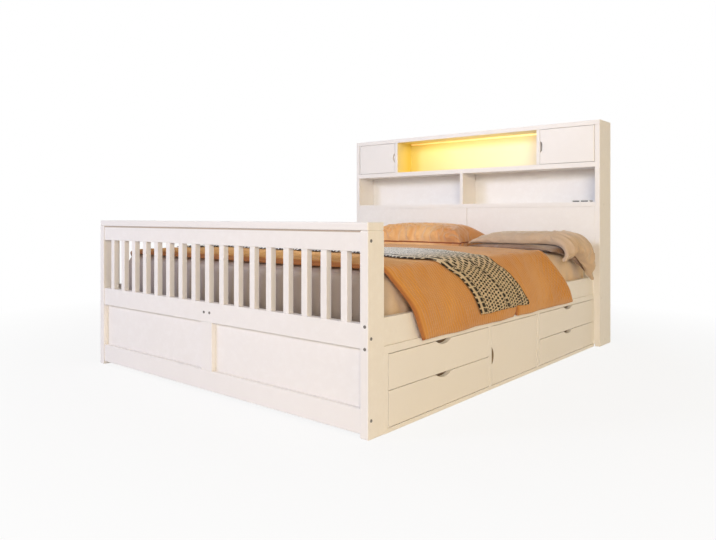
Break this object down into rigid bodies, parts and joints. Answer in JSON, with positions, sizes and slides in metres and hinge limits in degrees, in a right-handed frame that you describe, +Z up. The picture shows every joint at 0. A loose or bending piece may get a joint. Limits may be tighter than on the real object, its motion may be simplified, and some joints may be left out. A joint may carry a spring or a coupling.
{
  "type": "bed with storage headboard",
  "caption": "Double bed with spindle footboard, lit storage headboard with shelves and cupboards, and drawers with a cupboard under one side, dressed with bedding.",
  "frame": {"origin": "on the floor, under the middle of the bed's overall width and length", "axes": "+X across the bed towards the side with the drawers, +Y from the footboard to the headboard, +Z up"},
  "size_m": [1.6915, 2.322, 1.26],
  "materials": {
    "white_paint": "smooth white painted board, satin sheen",
    "plain_wood": "bare pale pine, fine grain",
    "slat_wood": "bare pine slats joined by woven tape",
    "steel": "zinc-plated steel",
    "light_diffuser": "milky diffuser over warm light-emitting diodes",
    "white_plastic": "satin white plastic with dark sockets",
    "sheet_cloth": "plain woven beige cotton",
    "duvet_cloth": "finely ribbed orange cotton",
    "throw_cloth": "knitted black and off-white wool, small zigzags",
    "orange_cloth": "smooth orange cotton",
    "beige_cloth": "smooth beige cotton",
    "satin_cloth": "taupe satin with a soft sheen"
  },
  "bodies": {
    "bed": {"foot_post_right": "white_paint", "foot_post_left": "white_paint", "foot_cap": "white_paint", "foot_upper_rail": "white_paint", "foot_mid_rail": "white_paint", "foot_bottom_rail": "white_paint", "foot_center_stile": "white_paint", "foot_panel_right": "white_paint", "foot_panel_left": "white_paint", "foot_spindle_rack": "white_paint", "head_side_right": "white_paint", "head_side_left": "white_paint", "head_top_board": "white_paint", "head_upper_shelf": "white_paint", "head_lower_shelf": "white_paint", "niche_divider_right": "white_paint", "niche_divider_left": "white_paint", "shelf_divider": "white_paint", "head_back_panel": "white_paint", "head_lower_panel_right": "white_paint", "head_lower_panel_left": "white_paint", "head_cross_rail": "white_paint", "head_door_pin_right": "steel", "head_door_pin_left": "steel", "led_strip": "light_diffuser", "charging_panel": "white_plastic", "side_rail_right": "white_paint", "side_rail_left": "white_paint", "center_beam": "plain_wood", "beam_leg": "plain_wood", "side_leg_left": "white_paint", "slat_roll": "slat_wood", "cabinet_base": "white_paint", "cabinet_top": "white_paint", "cabinet_end_foot": "white_paint", "cabinet_end_head": "white_paint", "cabinet_partition_foot": "white_paint", "cabinet_partition_head": "white_paint", "cabinet_back": "white_paint", "cabinet_door_pin": "steel", "runner_frame_foot": "plain_wood", "runner_frame_head": "plain_wood", "mattress": "sheet_cloth", "duvet": "duvet_cloth", "throw": "throw_cloth", "pillow_orange": "orange_cloth", "pillow_beige": "beige_cloth", "pillow_satin": "satin_cloth"},
    "drawer_foot_lower": {"drawer_front_foot_lower": "white_paint", "drawer_tray_foot_lower": "plain_wood"},
    "drawer_foot_upper": {"drawer_front_foot_upper": "white_paint", "drawer_tray_foot_upper": "plain_wood"},
    "drawer_head_lower": {"drawer_front_head_lower": "white_paint", "drawer_tray_head_lower": "plain_wood"},
    "drawer_head_upper": {"drawer_front_head_upper": "white_paint", "drawer_tray_head_upper": "plain_wood"},
    "cabinet_door": {"cabinet_door": "white_paint"},
    "head_door_right": {"head_door_right": "white_paint"},
    "head_door_left": {"head_door_left": "white_paint"}
  },
  "joints": [
    {"name": "drawer_foot_lower_slide", "type": "slide", "parent": "bed", "child": "drawer_foot_lower", "axis": [1, 0, 0], "range_m": [0, 0.34]},
    {"name": "drawer_foot_upper_slide", "type": "slide", "parent": "bed", "child": "drawer_foot_upper", "axis": [1, 0, 0], "range_m": [0, 0.34]},
    {"name": "drawer_head_lower_slide", "type": "slide", "parent": "bed", "child": "drawer_head_lower", "axis": [1, 0, 0], "range_m": [0, 0.34]},
    {"name": "drawer_head_upper_slide", "type": "slide", "parent": "bed", "child": "drawer_head_upper", "axis": [1, 0, 0], "range_m": [0, 0.34]},
    {"name": "cabinet_door_hinge", "type": "hinge", "parent": "bed", "child": "cabinet_door", "pos_m": [0.793, 0.179, 0.1395], "axis": [0, 0, 1], "range_deg": [0, 90]},
    {"name": "head_door_right_hinge", "type": "hinge", "parent": "bed", "child": "head_door_right", "pos_m": [0.795, 0.985, 1.131], "axis": [0, 0, 1], "range_deg": [0, 90]},
    {"name": "head_door_left_hinge", "type": "hinge", "parent": "bed", "child": "head_door_left", "pos_m": [-0.795, 0.985, 1.131], "axis": [0, 0, -1], "range_deg": [0, 90]}
  ]
}
